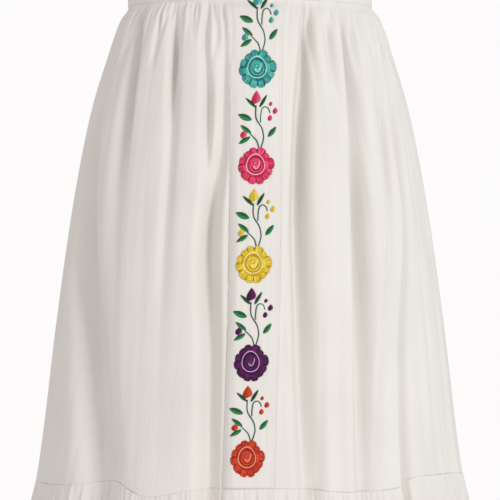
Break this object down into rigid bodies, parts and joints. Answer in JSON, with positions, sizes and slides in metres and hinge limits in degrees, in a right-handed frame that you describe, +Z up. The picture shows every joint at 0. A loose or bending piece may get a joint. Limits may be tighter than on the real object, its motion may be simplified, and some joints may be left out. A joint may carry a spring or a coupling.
{
  "type": "embroidered mexican dress",
  "caption": "Sleeveless cotton gauze folk dress in its worn hollow form, with a gathered skirt, a hem ruffle and an embroidered front panel.",
  "frame": {"origin": "midway between the tops of the shoulders, on the inner side of the cloth, where the wearer holds the dress up", "axes": "+Z up, the front faces -Y, +X is on the right of someone who looks at the front"},
  "size_m": [0.5231, 0.4315, 1.0406],
  "materials": {
    "cloth": "matte crinkled cotton gauze",
    "embroidery": "satin stitches of shiny rayon thread"
  },
  "bodies": {
    "root": {"front_panel": "cloth", "bodice_front_left": "cloth", "bodice_front_right": "cloth", "bodice_back": "cloth", "skirt_front_left": "cloth", "skirt_front_right": "cloth", "skirt_back": "cloth", "ruffle_front": "cloth", "ruffle_back": "cloth"}
  },
  "joints": []
}
